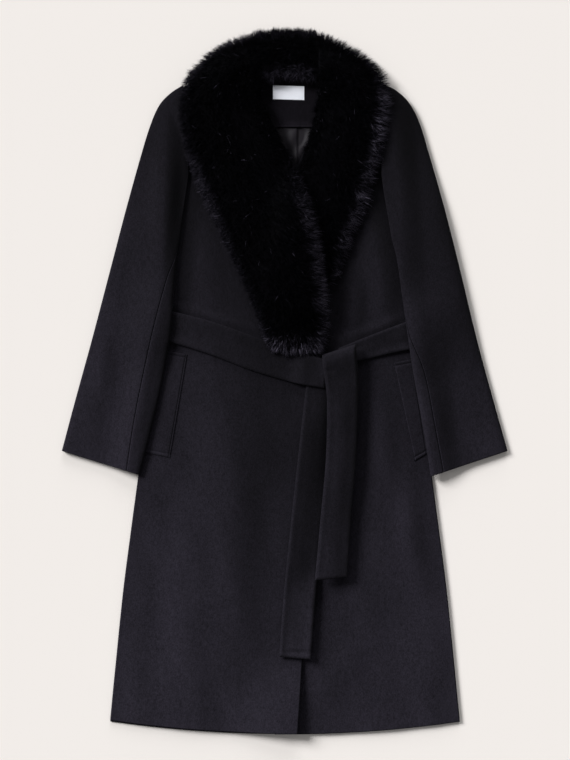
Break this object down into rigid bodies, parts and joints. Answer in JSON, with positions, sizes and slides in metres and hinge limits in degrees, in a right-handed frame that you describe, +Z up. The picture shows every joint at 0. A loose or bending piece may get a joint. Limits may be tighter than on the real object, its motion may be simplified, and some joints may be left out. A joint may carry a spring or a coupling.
{
  "type": "belted coat",
  "caption": "Wool wrap coat with a fur shawl collar, laid flat with its front up, the sleeves beside the body and the belt tied in a loose half knot with hanging ends.",
  "frame": {"origin": "middle of the coat's outline, on the surface that it lies on", "axes": "+X to the viewer's right across the coat, +Y from the hem to the collar, +Z up out of the surface, towards the front of the coat"},
  "size_m": [0.7388, 1.173, 0.0475],
  "materials": {
    "wool": "brushed black wool coating with a short soft nap",
    "fur": "deep black fake fur with a silky pile",
    "satin": "dark grey lining with a satin sheen",
    "label": "blank woven white label"
  },
  "bodies": {
    "root": {"back_panel": "wool", "left_front": "wool", "right_front": "wool", "right_top_sleeve": "wool", "right_under_sleeve": "wool", "left_top_sleeve": "wool", "left_under_sleeve": "wool", "collar_right": "fur", "collar_back": "fur", "collar_left": "fur", "right_pocket_welt": "wool", "left_pocket_welt": "wool", "belt_back_run": "wool", "belt_left_run": "wool", "belt_right_run": "wool", "belt_long_end": "wool", "belt_short_end": "wool", "neck_facing": "wool", "back_lining": "satin", "neck_label": "label"}
  },
  "joints": []
}
